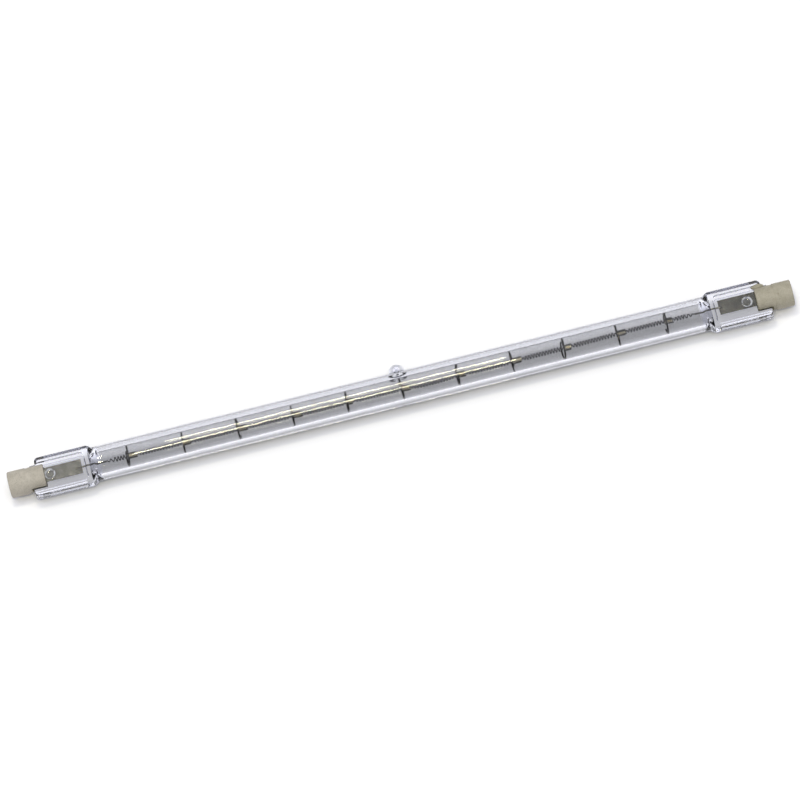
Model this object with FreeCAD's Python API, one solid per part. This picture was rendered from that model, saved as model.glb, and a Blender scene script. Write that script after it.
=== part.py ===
# A linear halogen lamp. A thick quartz tube is pressed flat at both ends, a
# coiled filament is carried on its axis by wire supports, a foil in each
# flattened end carries the current through the seal, and a ceramic cap with a
# recessed contact closes each end.
#
# The origin is the light centre, on the lamp's axis at half its length. +X runs
# along the lamp to its right cap and +Z is up. The flattened ends lie level, so
# the exhaust tip points along +Y. All sizes are in millimetres, and "depth"
# means the distance from the lamp's end, measured inwards along its axis.

import FreeCAD, Part
import math
import os

Vec = FreeCAD.Vector
X_AXIS = Vec(1, 0, 0)

# The whole lamp, over the outer faces of its caps
lamp_length = 254.1

# Quartz tube
tube_diameter = 11.0
tube_wall = 2.0

# Flattened end of the tube: a thin web between two thick rims
rim_width = 2.2
rim_thickness = 4.0
rim_corner = 0.7
rim_tip_flat = 0.9
web_thickness = 2.6
front_rim_gap = 0.6
back_rim_setback = 1.8
pinch_beyond_cap = 14.3
shoulder_length = 3.5
shoulder_seat = 0.08
slit_width = 5.4
slit_height = 1.0
groove_margin = 1.2
groove_slope = 0.4
groove_corner = 1.2

# Tongue at the end of the web, which the cap's pocket takes
tongue_width = 5.6
tongue_length = 2.4
tongue_corner = 0.5

# Round mark that the press leaves on the web's upper face, at each end
left_dimple_beyond_cap = 1.6
right_dimple_beyond_cap = 2.9
dimple_diameter = 3.2
dimple_sink = 0.4

# Exhaust tip, where the tube was filled and closed
tip_radius = 2.6
tip_reach = 8.4
exhaust_hole_diameter = 1.4
exhaust_tip_wall = 1.3

# Ceramic cap: a round nose, and a fork that straddles the web
cap_nose_diameter = 8.4
cap_nose_length = 5.8
cap_fork_diameter = 8.0
cap_fork_length = 5.9
cap_slot_length = 4.9
cap_edge = 0.4
rim_clearance = 0.3

# Contact at the bottom of the cap's recess
recess_diameter = 4.4
recess_depth = 1.7
contact_diameter = 3.3
contact_thickness = 1.2
contact_clearance = 0.05

# Cement between cap and quartz
cement_layer = 0.2
cement_end_gap = 0.4
cement_setback = 0.2
bead_reach = 1.0
bead_length = 4.2
bead_radius = 0.9
bead_taper = 0.6
bead_offset = 0.1

# Leads and foil in the seal
lead_diameter = 0.6
lead_clearance = 0.1
foil_width = 5.0
foil_thickness = 0.1
foil_seal_margin = 2.4
foil_under_cap = 1.1
weld_overlap = 2.2
weld_flat = 0.05
lead_reach = 2.0

# Coiled filament
coil_diameter = 1.5
coil_valley_diameter = 1.0
coil_pitch = 1.4
filament_tail_length = 3.1
open_turn_pitch = 1.4
filament_tail_diameter = 0.5

# Filament supports: a few turns round the coil, a spoke, and a ring in the bore
support_wire = 0.4
support_turns = 2
support_turn_pitch = 1.1
support_ring_angle = 300.0
support_ring_sides = 11
support_bore_clearance = 0.05
support_coil_clearance = 0.04
first_support_inset = 4.0
last_support_inset = 6.6
# how far each support sits from an even spacing, as wound on by hand
support_shifts = [0.0, 0.4, 1.0, 1.1, 1.0, 1.5, 2.3, 2.6, 1.7, 1.7, 0.0]
support_twist = 137.0

# Sizes that follow from those above
half_length = lamp_length / 2
tube_radius = tube_diameter / 2
bore_radius = tube_radius - tube_wall
cap_length = cap_nose_length + cap_fork_length
cap_slot_depth = cap_length - cap_slot_length
front_rim_depth = cap_slot_depth + front_rim_gap
back_rim_depth = front_rim_depth + back_rim_setback
pinch_inner_depth = cap_length + pinch_beyond_cap
tube_start_depth = pinch_inner_depth + shoulder_length
foil_outer_depth = cap_length - foil_under_cap
foil_inner_depth = pinch_inner_depth - foil_seal_margin
inner_lead_depth = tube_start_depth + lead_reach
coil_start_depth = inner_lead_depth + filament_tail_length
slot_height = web_thickness + 2 * cement_layer
pocket_width = tongue_width + 2 * cement_layer
pocket_depth = front_rim_depth - tongue_length - cement_end_gap
groove_width = cap_fork_diameter + 2 * rim_clearance
pinch_width = groove_width + 2 * rim_width
rim_tip_corner = rim_width - rim_tip_flat
contact_back_depth = recess_depth + contact_thickness
lead_radius = lead_diameter / 2
foil_top = weld_flat - lead_radius


def at_depth(depth):
    """Returns the x of a place in the right-hand half, given its depth from the lamp's end."""
    return half_length - depth


def rod(radius, outer_depth, inner_depth):
    """Returns a cylinder on the lamp's axis between two depths of the right-hand half."""
    start = Vec(at_depth(inner_depth), 0, 0)
    return Part.makeCylinder(radius, inner_depth - outer_depth, start, X_AXIS)


def block(outer_depth, inner_depth, width, bottom, top):
    """Returns a box centred on y = 0 between two depths of the right-hand half."""
    corner = Vec(at_depth(inner_depth), -width / 2, bottom)
    return Part.makeBox(inner_depth - outer_depth, width, top - bottom, corner)


def rounded_section(x, half_width, half_height, corner):
    """Returns a closed wire across the lamp: a rectangle with round corners, in eight edges."""
    flat_y = half_width - corner
    flat_z = half_height - corner
    edges = []
    for index, (side_y, side_z) in enumerate([(1, 1), (-1, 1), (-1, -1), (1, -1)]):
        centre_y = side_y * flat_y
        centre_z = side_z * flat_z
        ring = []
        for step in range(3):
            angle = math.radians(90 * index + 45 * step)
            ring.append(Vec(x, centre_y + corner * math.cos(angle), centre_z + corner * math.sin(angle)))
        edges.append(Part.Arc(*ring).toShape())
        if index % 2 == 0:
            following = Vec(x, -centre_y, ring[2].z)
        else:
            following = Vec(x, ring[2].y, -centre_z)
        edges.append(Part.LineSegment(ring[2], following).toShape())
    return Part.Wire(edges)


def hexagon(radius):
    """Returns the six corners, as (u, v) pairs, of a hexagon of wire or coil."""
    return [(radius * math.cos(math.radians(60 * step)), radius * math.sin(math.radians(60 * step)))
            for step in range(6)]


def flat_sided(sections):
    """Returns the solid that joins sections, which are rings of as many corners, with flat faces."""
    faces = [Part.Face(Part.makePolygon(ring + ring[:1])) for ring in (sections[0], sections[-1])]
    for ring, following in zip(sections, sections[1:]):
        for side in range(len(ring)):
            after = (side + 1) % len(ring)
            corners = [ring[side], ring[after], following[after], following[side], ring[side]]
            faces.append(Part.Face(Part.makePolygon(corners)))
    solid = Part.Solid(Part.Shell(faces))
    if solid.Volume < 0:
        solid.reverse()
    return solid


def ridged_rod(stations):
    """Returns a six-sided solid whose radius follows (x, radius) stations along the axis."""
    return flat_sided([[Vec(x, y, z) for y, z in hexagon(radius)] for x, radius in stations])


def mirrored(shape):
    """Returns the left-hand copy of a right-hand piece."""
    return shape.mirror(Vec(0, 0, 0), X_AXIS)


def vertical_edges(shape, places):
    """Returns the upright edges of a shape that stand at the given (x, y) places."""
    found = []
    for edge in shape.Edges:
        ends = [vertex.Point for vertex in edge.Vertexes]
        if len(ends) != 2 or abs(ends[0].z - ends[1].z) < 1e-6:
            continue
        for x, y in places:
            if max(math.hypot(end.x - x, end.y - y) for end in ends) < 1e-6:
                found.append(edge)
    return found


def make_pinch_outline():
    """Returns the flattened end's outline in plan, as an upright block with rounded rim tips."""
    inner = at_depth(pinch_inner_depth)
    front = at_depth(front_rim_depth)
    back = at_depth(back_rim_depth)
    half_width = pinch_width / 2
    rim_inside = groove_width / 2
    corners = [
        (inner, -half_width),
        (front, -half_width),
        (front, rim_inside),
        (back, rim_inside),
        (back, half_width),
        (inner, half_width),
    ]
    points = [Vec(x, y, -rim_thickness) for x, y in corners + corners[:1]]
    plan = Part.Face(Part.makePolygon(points)).extrude(Vec(0, 0, 2 * rim_thickness))
    tips = vertical_edges(plan, [corners[1], corners[4]])
    return plan.makeFillet(rim_tip_corner, tips)


def make_groove():
    """Returns the upper groove between the rims, wider at its mouth, with round inner corners."""
    floor = web_thickness / 2
    height = rim_thickness - floor
    inner = at_depth(pinch_inner_depth - groove_margin)
    outer = at_depth(front_rim_depth) + groove_margin
    half_floor = groove_width / 2
    rows = []
    for z, spread in ((floor, 0), (floor + height, groove_slope * height)):
        half = half_floor + spread
        corners = [(inner - spread, -half), (outer, -half), (outer, half), (inner - spread, half)]
        rows.append(Part.makePolygon([Vec(x, y, z) for x, y in corners + corners[:1]]))
    groove = Part.makeLoft(rows, True, True)
    slanted = []
    for edge in groove.Edges:
        ends = [vertex.Point for vertex in edge.Vertexes]
        if abs(ends[0].z - ends[1].z) > height / 2 and max(ends[0].x, ends[1].x) < inner + 1e-6:
            slanted.append(edge)
    return groove.makeFillet(groove_corner, slanted)


def make_pinch():
    """Returns the flattened end of the tube on the right, with its rims, web and tongue."""
    inner = at_depth(pinch_inner_depth)
    section = Part.Face(rounded_section(inner, pinch_width / 2, rim_thickness / 2, rim_corner))
    bar = section.extrude(Vec(pinch_inner_depth, 0, 0))
    body = bar.common(make_pinch_outline())
    groove = make_groove()
    body = body.cut([groove, groove.mirror(Vec(0, 0, 0), Vec(0, 0, 1))])
    half_web = web_thickness / 2
    tongue_outer = front_rim_depth - tongue_length
    tongue = block(tongue_outer, front_rim_depth + tongue_length, tongue_width, -half_web, half_web)
    outer = at_depth(tongue_outer)
    tips = vertical_edges(tongue, [(outer, -tongue_width / 2), (outer, tongue_width / 2)])
    return body.fuse(tongue.makeFillet(tongue_corner, tips))


def make_dimple(beyond_cap):
    """Returns the ball that cuts a press mark into the right-hand web, at a distance from the cap."""
    chord = dimple_diameter / 2
    radius = (chord ** 2 + dimple_sink ** 2) / (2 * dimple_sink)
    height = web_thickness / 2 - dimple_sink + radius
    return Part.makeSphere(radius, Vec(at_depth(cap_length + beyond_cap), 0, height))


def make_shoulder():
    """Returns the stretch on the right where the round tube closes down to the flattened end.

    The sides come out to the flattened end's width in the half next to it.
    """
    start = at_depth(pinch_inner_depth)
    run = pinch_inner_depth - tube_start_depth
    seat = tube_radius - shoulder_seat
    sections = []
    for share in (0.0, 0.5, 1.0):
        ease = (1 - math.cos(math.pi * share)) / 2
        half_width = pinch_width / 2 + (seat - pinch_width / 2) * min(1, 2 * share)
        half_height = rim_thickness / 2 + (seat - rim_thickness / 2) * ease
        corner = rim_corner + (seat - 2 * shoulder_seat - rim_corner) * ease
        sections.append(rounded_section(start + run * share, half_width, half_height, corner))
    return Part.makeLoft(sections, True, True)


def make_bore():
    """Returns the tube's hollow: a round bore that closes to a flat slit at both ends."""
    straight_end = at_depth(tube_start_depth)
    slit_end = at_depth(pinch_inner_depth) - web_thickness / 4
    openings = ((straight_end, 2 * bore_radius, 2 * bore_radius), (slit_end, slit_width, slit_height))
    sections = []
    for x, width, height in openings:
        circle = Part.Wire(Part.makeCircle(bore_radius, Vec(x, 0, 0), X_AXIS))
        squash = FreeCAD.Matrix()
        squash.scale(1, width / 2 / bore_radius, height / 2 / bore_radius)
        sections.append(circle.transformGeometry(squash))
    end = Part.makeLoft(sections, True, True)
    middle = Part.makeCylinder(bore_radius, 2 * straight_end, Vec(-straight_end, 0, 0), X_AXIS)
    return middle.fuse([end, mirrored(end)])


def make_exhaust_tip():
    """Returns the rounded knob on the tube's side, without its hole."""
    centre = Vec(0, tip_reach - tip_radius, 0)
    stem = Part.makeCylinder(tip_radius, centre.y - bore_radius, Vec(0, bore_radius, 0), Vec(0, 1, 0))
    return stem.fuse(Part.makeSphere(tip_radius, centre))


def make_exhaust_hole():
    """Returns the blind hole that runs from the bore up into the exhaust tip."""
    length = tip_reach - exhaust_tip_wall
    return Part.makeCylinder(exhaust_hole_diameter / 2, length, Vec(0, 0, 0), Vec(0, 1, 0))


def make_foil():
    """Returns the right-hand sealing foil."""
    return block(foil_outer_depth, foil_inner_depth, foil_width, foil_top - foil_thickness, foil_top)


def make_inner_lead(foil):
    """Returns the right-hand wire from the foil to the filament, flattened where it is welded."""
    return rod(lead_radius, foil_inner_depth - weld_overlap, inner_lead_depth).cut(foil)


def make_outer_lead(foil):
    """Returns the right-hand wire from the contact to the foil, flattened where it is welded."""
    return rod(lead_radius, contact_back_depth, foil_outer_depth + weld_overlap).cut(foil)


def make_envelope(sealed_pieces):
    """Returns the quartz envelope, with room in its seals for the pieces given."""
    tube_half = at_depth(tube_start_depth)
    tube = Part.makeCylinder(tube_radius, 2 * tube_half, Vec(-tube_half, 0, 0), X_AXIS)
    end = make_shoulder().fuse(make_pinch())
    glass = tube.fuse([end, mirrored(end), make_exhaust_tip()])
    glass = glass.cut(make_bore()).cut(make_exhaust_hole())
    glass = glass.cut([make_dimple(right_dimple_beyond_cap), mirrored(make_dimple(left_dimple_beyond_cap))])
    return glass.cut(sealed_pieces).removeSplitter()


def make_cap():
    """Returns the right-hand ceramic cap."""
    nose = rod(cap_nose_diameter / 2, 0, cap_nose_length)
    rims = [edge for edge in nose.Edges if abs(edge.BoundBox.XMin - half_length) < 1e-6]
    nose = nose.makeChamfer(cap_edge, rims)
    body = nose.fuse(rod(cap_fork_diameter / 2, cap_nose_length, cap_length))
    half_slot = slot_height / 2
    slot = block(cap_slot_depth, cap_length + cap_edge, cap_nose_diameter, -half_slot, half_slot)
    pocket = block(pocket_depth, cap_slot_depth + cap_edge, pocket_width, -half_slot, half_slot)
    recess = rod(recess_diameter / 2, 0, recess_depth)
    seat = rod(contact_diameter / 2 + contact_clearance, recess_depth, contact_back_depth)
    hole = rod(lead_radius + lead_clearance, contact_back_depth, pocket_depth)
    return body.cut([slot, pocket, recess, seat, hole])


def make_contact():
    """Returns the right-hand contact, a flat button at the bottom of the cap's recess."""
    return rod(contact_diameter / 2, recess_depth, contact_back_depth)


def make_cement(neighbours):
    """Returns the cement that fills the right-hand cap's pocket and slot round the quartz."""
    half_slot = slot_height / 2
    end = cap_length - cement_setback
    slot = block(cap_slot_depth, end, cap_fork_diameter, -half_slot, half_slot)
    slot = slot.common(rod(cap_fork_diameter / 2, cap_slot_depth, cap_length))
    pocket = block(pocket_depth, cap_slot_depth, pocket_width, -half_slot, half_slot)
    return slot.fuse(pocket).cut(neighbours)


def make_cement_bead(neighbours):
    """Returns the bead of cement squeezed out between the right-hand cap and its back rim."""
    outer = at_depth(back_rim_depth - bead_reach)
    inner = outer - bead_length
    end_radius = bead_radius - bead_taper
    bead = ridged_rod([
        (inner, end_radius),
        (inner + bead_taper, bead_radius),
        (outer - bead_taper, bead_radius),
        (outer, end_radius),
    ])
    bead.translate(Vec(0, cap_fork_diameter / 2 + bead_offset, web_thickness / 2))
    return bead.cut(neighbours)


def make_filament():
    """Returns the filament: its coil's turns as ridges, an open turn and a tail at each end."""
    coil_half = at_depth(coil_start_depth)
    tail_end = at_depth(inner_lead_depth)
    crest = coil_diameter / 2
    valley = coil_valley_diameter / 2
    tail = filament_tail_diameter / 2
    turns = round(2 * coil_half / coil_pitch)
    pitch = 2 * coil_half / turns
    stations = [(-coil_half, valley)]
    for turn in range(turns):
        start = -coil_half + turn * pitch
        stations.append((start + pitch / 2, crest))
        stations.append((start + pitch, valley))
    open_end = coil_half + open_turn_pitch
    right_tail = [
        (coil_half + open_turn_pitch / 4, tail),
        (coil_half + open_turn_pitch / 2, tail),
        (open_end - open_turn_pitch / 4, crest),
        (open_end, tail),
        (tail_end, tail),
    ]
    left_tail = [(-x, radius) for x, radius in reversed(right_tail)]
    return ridged_rod(left_tail + stations + right_tail)


def make_support(place, twist):
    """Returns one filament support: its grip on the coil, its spoke and its ring in the bore."""
    inside = coil_diameter / 2 + support_coil_clearance
    crest = inside + support_wire
    valley = inside + support_wire / 2
    start = place - support_turns * support_turn_pitch / 2
    stations = [(start, valley)]
    for turn in range(support_turns):
        stations.append((start + (turn + 0.5) * support_turn_pitch, crest))
        stations.append((start + (turn + 1) * support_turn_pitch, valley))
    hole = ridged_rod([(stations[0][0], inside), (stations[-1][0], inside)])
    grip = ridged_rod(stations).cut(hole)

    half_wire = support_wire / 2
    ring_radius = bore_radius - support_bore_clearance - half_wire
    wire = hexagon(half_wire)
    spoke = flat_sided([[Vec(place + u, y, half_wire + v) for u, v in wire] for y in (inside, ring_radius)])
    sections = []
    for side in range(support_ring_sides + 1):
        angle = math.radians(side * support_ring_angle / support_ring_sides)
        section = []
        for u, v in wire:
            reach = ring_radius + v
            section.append(Vec(place + u, reach * math.cos(angle), reach * math.sin(angle)))
        sections.append(section)
    ring = flat_sided(sections)

    arm = ring.fuse(spoke)
    arm.rotate(Vec(0, 0, 0), X_AXIS, twist)
    return grip.fuse(arm)


def support_places():
    """Returns the x of each filament support."""
    coil_half = at_depth(coil_start_depth)
    first = -coil_half + first_support_inset
    last = coil_half - last_support_inset
    gaps = len(support_shifts) - 1
    return [first + (last - first) * index / gaps + shift for index, shift in enumerate(support_shifts)]


def save(name, shape):
    """Writes one named piece to its own file."""
    shape.exportStep(f"parts/{name}.step")
    print(name, len(shape.Solids), shape.isValid(), round(shape.Volume, 3))


os.makedirs("parts", exist_ok=True)

foil = make_foil()
inner_lead = make_inner_lead(foil)
outer_lead = make_outer_lead(foil)
cap = make_cap()
contact = make_contact()
sealed = [foil, inner_lead, outer_lead]
envelope = make_envelope(sealed + [mirrored(piece) for piece in sealed])
cement = make_cement([envelope, outer_lead, foil])
bead = make_cement_bead([envelope, cap])

save("quartz_envelope", envelope)
save("filament", make_filament())
for index, place in enumerate(support_places()):
    save(f"support_{index + 1:02d}", make_support(place, support_twist * index))
for name, piece in (("foil", foil), ("inner_lead", inner_lead), ("outer_lead", outer_lead),
                    ("contact", contact), ("cap", cap)):
    save(f"{name}_right", piece)
    save(f"{name}_left", mirrored(piece))
save("cement_right", cement.fuse(bead))
save("cement_left", mirrored(cement))
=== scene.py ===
# The looks of the linear halogen lamp: clear quartz with pinched ends, a fine
# coil on wire supports, and pale ceramic caps, lying on a white table.
#
# The frame is that of the part: +X along the lamp, +Z up, the exhaust tip along
# +Y. Shapes are built in millimetres and scaled to metres when a piece is made.
# "Depth" is the distance from the lamp's end, measured inwards along its axis.

import math

import bpy
from mathutils import Matrix, Vector, noise


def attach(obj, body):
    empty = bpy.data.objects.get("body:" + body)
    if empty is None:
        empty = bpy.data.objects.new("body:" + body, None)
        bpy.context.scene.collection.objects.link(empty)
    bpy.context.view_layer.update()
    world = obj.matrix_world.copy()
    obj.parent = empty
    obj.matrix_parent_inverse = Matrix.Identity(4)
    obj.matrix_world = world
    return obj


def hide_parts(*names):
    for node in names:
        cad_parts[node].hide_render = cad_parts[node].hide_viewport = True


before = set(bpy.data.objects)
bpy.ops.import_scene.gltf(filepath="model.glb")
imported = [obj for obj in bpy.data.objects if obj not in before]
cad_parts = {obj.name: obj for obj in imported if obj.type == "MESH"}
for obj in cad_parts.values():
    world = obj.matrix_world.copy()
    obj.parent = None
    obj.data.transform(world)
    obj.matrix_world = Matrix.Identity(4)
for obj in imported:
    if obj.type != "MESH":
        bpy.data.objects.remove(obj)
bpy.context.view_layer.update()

MM = 0.001

# The part's sizes, in millimetres
lamp_length = 254.1
tube_radius = 5.5
bore_radius = 3.5
cap_nose_length = 5.8
cap_length = 11.7
cap_slot_depth = 6.8
cap_nose_radius = 4.2
cap_fork_radius = 4.0
cap_edge = 0.4
recess_radius = 2.2
recess_depth = 1.7
contact_radius = 1.65
contact_back_depth = 2.9
slot_half_height = 1.5
pocket_half_width = 3.0
pocket_depth = 4.6
tongue_half_width = 2.8
tongue_outer_depth = 5.0
rim_inside = 4.3
pinch_half_width = 6.5
rim_half_thickness = 2.0
rim_corner = 0.7
rim_tip_corner = 1.3
web_half_thickness = 1.3
front_rim_depth = 7.4
back_rim_depth = 9.2
groove_inner_depth = 24.8
groove_corner = 1.2
pinch_inner_depth = 26.0
tube_start_depth = 29.5
slit_half_width = 2.7
slit_half_height = 0.5
slit_depth = 26.65
left_dimple_depth = 13.3
right_dimple_depth = 14.6
dimple_radius = 1.6
dimple_sink = 0.4
bead_outer_depth = 8.2
bead_length = 4.2
bead_radius = 0.9
bead_centre_y = 4.1
bead_centre_z = 1.5
tip_radius = 2.6
tip_reach = 8.38
exhaust_hole_radius = 0.7
exhaust_hole_reach = 7.1
foil_half_width = 2.5
foil_outer_depth = 10.6
foil_inner_depth = 23.6
foil_top = -0.25
foil_thickness = 0.1
lead_radius = 0.3
weld_overlap = 2.2
inner_lead_depth = 31.5
right_lead_y = 0.75
left_foil_y = 0.4
right_weld_overlap = 1.0
coil_radius = 0.85
coil_start_depth = 34.6
support_wire_radius = 0.27
grip_radius = 0.8
grip_squeeze = 0.33
support_ring_radius = 3.2
support_ring_angle = 300.0
support_twist = 137.0
support_places = [-88.45, -70.59, -52.53, -34.97, -17.61, 0.35, 18.61, 36.37, 52.93, 70.39, 85.85]
support_tilts = [9.0, 4.0, -4.0, 3.0, 4.0, -3.0, 5.0, -5.0, 8.0, -5.0, 4.0]
support_turns = [4.75, 3.75, 4.25, 4.75, 3.75, 4.25, 3.75, 4.75, 4.25, 4.75, 4.25]
half_length = lamp_length / 2

# A hair's breadth, which keeps neighbouring slices and faces apart
hair = 0.001

# How far each stretch of the coil bows sideways between its supports, and where it starts to rise
coil_bows = [0.08, -0.1, 0.06, -0.12, 0.05, -0.5, -0.1, 0.12, 0.05, 0.1]
coil_sag = 0.15
coil_rise_start = 40.0
coil_rise_run = 45.0

# The coil's wire, its open turns, each smaller than the last, and its tails, which lie on the leads
coil_turn_pitch = 0.94
coil_wire_radius = 0.18
open_turns = 2
open_pitch = 1.35
open_shrink = 0.3
turn_steps = 18
tail_steps = 8
tail_overlap = 0.8

# The supports' turns, how far beside them the coil is still drawn in, their spokes and their rings
support_pitch = 2 * support_wire_radius + 0.05
squeeze_margin = 0.3
squeeze_run = 1.2
spoke_steps = 8
spoke_swing = 0.5
support_ring_steps = 60

# A slice across the pinched end: the run of its groove's wall above and below, its least corner,
# and how its points are shared out over the rim's side, corner, flat top and groove wall
ring_points = 192
upper_lip = 0.3
lower_lip = 0.03
least_corner = 0.02
rim_side_shares = (0.0, 0.4, 0.75)
corner_steps = 5
rim_top_steps = 3
groove_wall_shares = (0.08, 0.3, 0.7, 0.92, 1.0)
outline_points = len(rim_side_shares) + corner_steps + 1 + rim_top_steps + len(groove_wall_shares)
thin_edge_corner = 0.35
thin_edge_side = 0.4

# How the tongue's and the rims' ends are rounded, and how the groove's floor rises at its end
tongue_tip_corner = 0.5
tongue_face_corner = 0.2
rim_face_corner = 0.5
rim_face_share = 0.6
groove_end_run = 0.35

# How fast the shoulder's slices change along it: width, height, boxy corners and spread of points
shoulder_width_pace = 1.9
shoulder_height_pace = 1 / 0.9
shoulder_corner_pace = 1.2
shoulder_turn_pace = 1.5
shoulder_settle_pace = 5.0
shoulder_boxiness = 8.0

# The raised lip round a press mark
mark_lip_gap = 0.12
mark_lip_width = 0.15
mark_lip_height = 0.14

# Where the slices across an end stand, closest together where the shape turns and at the press mark
tongue_tip_steps = (0.0, 0.05, 0.12, 0.22, 0.35, 0.5)
tongue_slice_depth = 6.2
rim_tip_steps = (0.0, 0.03, 0.08, 0.16, 0.28, 0.42, 0.6, 0.8, 1.05, 1.3)
front_slice_depth = 9.0
mark_slice_step = 0.13
mark_slices_end = 16.5
pinch_slice_step = 0.6
groove_corner_slices = 8
groove_end_slices = 5
last_pinch_slices = (25.5, 25.8)
shoulder_slices = 22
tube_slice_step = 2.0

# The tube's unevenness from drawing: how much, and how long and how wide its patches are
drawn_amount = 0.02
drawn_length = 26.0
drawn_round = 1.6
drawn_seed = 3.1

# The patch of the tube where the exhaust tip stands, how its border blends into the tip's round
# foot, and that foot as (radius, lift) rings
tip_patch_half_length = 5.0
tip_patch_half_points = 28
tip_patch_step = 0.5
foot_blends = (0.25, 0.5, 0.75, 1.0)
tip_foot = ((3.3, 0.0), (3.1, 0.02), (2.95, 0.07), (2.82, 0.16), (2.72, 0.3), (2.64, 0.5))
tip_steps = 16
tip_foot_steps = 4
tip_foot_lift = 0.55
tip_lift_step = 0.22

# The bore, its closing to a slit, and the exhaust hole, with its mouth as (radius, lift) rings
bore_points = 96
closing_steps = 16
slit_tip_shapes = ((0.25, 0.8, 0.6), (0.32, 0.5, 0.2))
hole_patch_half_length = 2.0
hole_patch_half_points = 9
hole_patch_step = 0.25
hole_mouth = ((1.1, 0.0), (0.9, 0.04), (0.78, 0.12), (exhaust_hole_radius, 0.35))
hole_heights = (4.6, 5.2, 5.8)
hole_end_steps = 6

# The angles in degrees beyond which an edge shows as sharp
glass_sharp_angle = 50
metal_sharp_angle = 60
cap_sharp_angle = 35
contact_sharp_angle = 40
cement_sharp_angle = 45

# The foils' slight wave, the grid of points that shows it, and the steps along a lead
foil_wave = 0.012
foil_wave_scales = (0.7, 0.9, 4.0)
foil_step_along = 0.4
foil_step_across = 0.25
lead_step = 0.25

# The edges of the caps' recess and fork, the room round leads and contacts, and the nick
recess_lip = 0.2
nose_back_corner = (0.12, 0.03, 0.1)
fork_corner = (0.25, 0.08, 0.25)
lead_room = 0.1
contact_room = 0.05
cut_margin = 1.0
pocket_overlap = 0.3
nick_depth = 4.7
nick_centre_y = -1.5
nick_centre_z = 3.98
nick_halves = (0.2, 0.75, 0.3)

# The contact's edge, and its dished face as (further depth, radius) points
contact_corner = 0.25
contact_axis_radius = 0.02
contact_dish = ((0.05, 0.9), (0.12, 0.5), (0.14, contact_axis_radius))

# The cement in the slot, with its ragged inner edge, and the plug behind it
fill_half_width = 3.78
fill_inner_level = 1.31
fill_end_gap = 0.2
fill_ragged_run = 0.6
fill_ragged = 0.12
fill_ragged_scales = (1.7, 1.3, 9.0)
fill_step_along = 0.35
fill_step_across = 0.3
plug_gap = 0.02
plug_reach = 0.55
plug_half_height = 1.28

# The bead's blunt ends and its unevenness, in broad and in fine lumps
bead_rows = 26
bead_columns = 28
bead_bluntness = 0.55
bead_scale_along = 0.9
bead_scale_round = 1.2
bead_broad_lumps = 0.16
bead_fine_lumps = 0.05
bead_fineness = 3.1


# Helpers for meshes


def at_depth(depth):
    """Returns the x of a place in the right-hand half, given its depth from the lamp's end."""
    return half_length - depth


def ease(share):
    """Returns a share from 0 to 1 that starts and ends gently."""
    share = min(max(share, 0.0), 1.0)
    return share * share * (3 - 2 * share)


def spread(start, end, step):
    """Returns evenly spaced values from start to end, about a step apart."""
    count = max(1, round((end - start) / step))
    return [start + (end - start) * index / count for index in range(count + 1)]


def circle_angles(count):
    """Returns evenly spaced angles round a whole turn."""
    return [2 * math.pi * step / count for step in range(count)]


def quarter_arc(y, z, size, steps):
    """Returns (y, z) points on a quarter circle round a centre, from its side to its top."""
    angles = [math.radians(90 * step / steps) for step in range(steps + 1)]
    return [(y + size * math.cos(angle), z + size * math.sin(angle)) for angle in angles]


def around(x, y, z, radius, angle):
    """Returns the point at a radius and an angle round a line along X, from +Y towards +Z."""
    return Vector((x, y + radius * math.cos(angle), z + radius * math.sin(angle)))


def add_object(name, data):
    """Adds an object with its data to the scene."""
    made = bpy.data.objects.new(name, data)
    bpy.context.scene.collection.objects.link(made)
    return made


def mesh_object(name, points, faces):
    """Adds an object whose mesh has points in millimetres."""
    mesh = bpy.data.meshes.new(name)
    mesh.from_pydata([tuple(value * MM for value in point) for point in points], [], faces)
    return add_object(name, mesh)


def make_piece(name, part, material, node, sharp_angle=None):
    """Adds one piece of the lamp from its (points, faces) part, attaches it to the root body and hides the
    CAD part that it replaces.
    """
    piece = mesh_object(name, *part)
    mesh = piece.data
    mesh.validate()
    mesh.shade_smooth()
    if sharp_angle is not None:
        mesh.set_sharp_from_angle(angle=math.radians(sharp_angle))
    mesh.materials.append(material)
    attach(piece, "root")
    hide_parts(node)


def make_pair(name, left, right, material, node, sharp_angle):
    """Adds the left and the right piece of a pair, whose names and nodes end in their side."""
    for side, part in (("left", left), ("right", right)):
        make_piece(f"{name}_{side}", part, material, f"{node}_{side}", sharp_angle)


def grid_faces(rows, columns, closed, start=0, flip=False):
    """Returns the faces between rows of points, each a ring where closed is true."""
    faces = []
    for row in range(rows - 1):
        for column in range(columns if closed else columns - 1):
            after = (column + 1) % columns
            first = start + row * columns
            second = first + columns
            face = (first + column, first + after, second + after, second + column)
            faces.append(face[::-1] if flip else face)
    return faces


def end_faces(rows, columns):
    """Returns the two faces that close a tube made of rings of points."""
    return [tuple(reversed(range(columns))), tuple(range((rows - 1) * columns, rows * columns))]


def sheet_faces(rows, columns, flip=False):
    """Returns the faces of a closed sheet: a grid of points, a like grid under it, and its edge."""
    offset = rows * columns
    faces = grid_faces(rows, columns, False, 0, flip)
    faces += grid_faces(rows, columns, False, offset, not flip)
    edge = list(range(columns))
    edge += [row * columns + columns - 1 for row in range(1, rows)]
    edge += [(rows - 1) * columns + column for column in range(columns - 2, -1, -1)]
    edge += [row * columns for row in range(rows - 2, 0, -1)]
    for index, point in enumerate(edge):
        after = edge[(index + 1) % len(edge)]
        face = (point, point + offset, after + offset, after)
        faces.append(face[::-1] if flip else face)
    return faces


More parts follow.
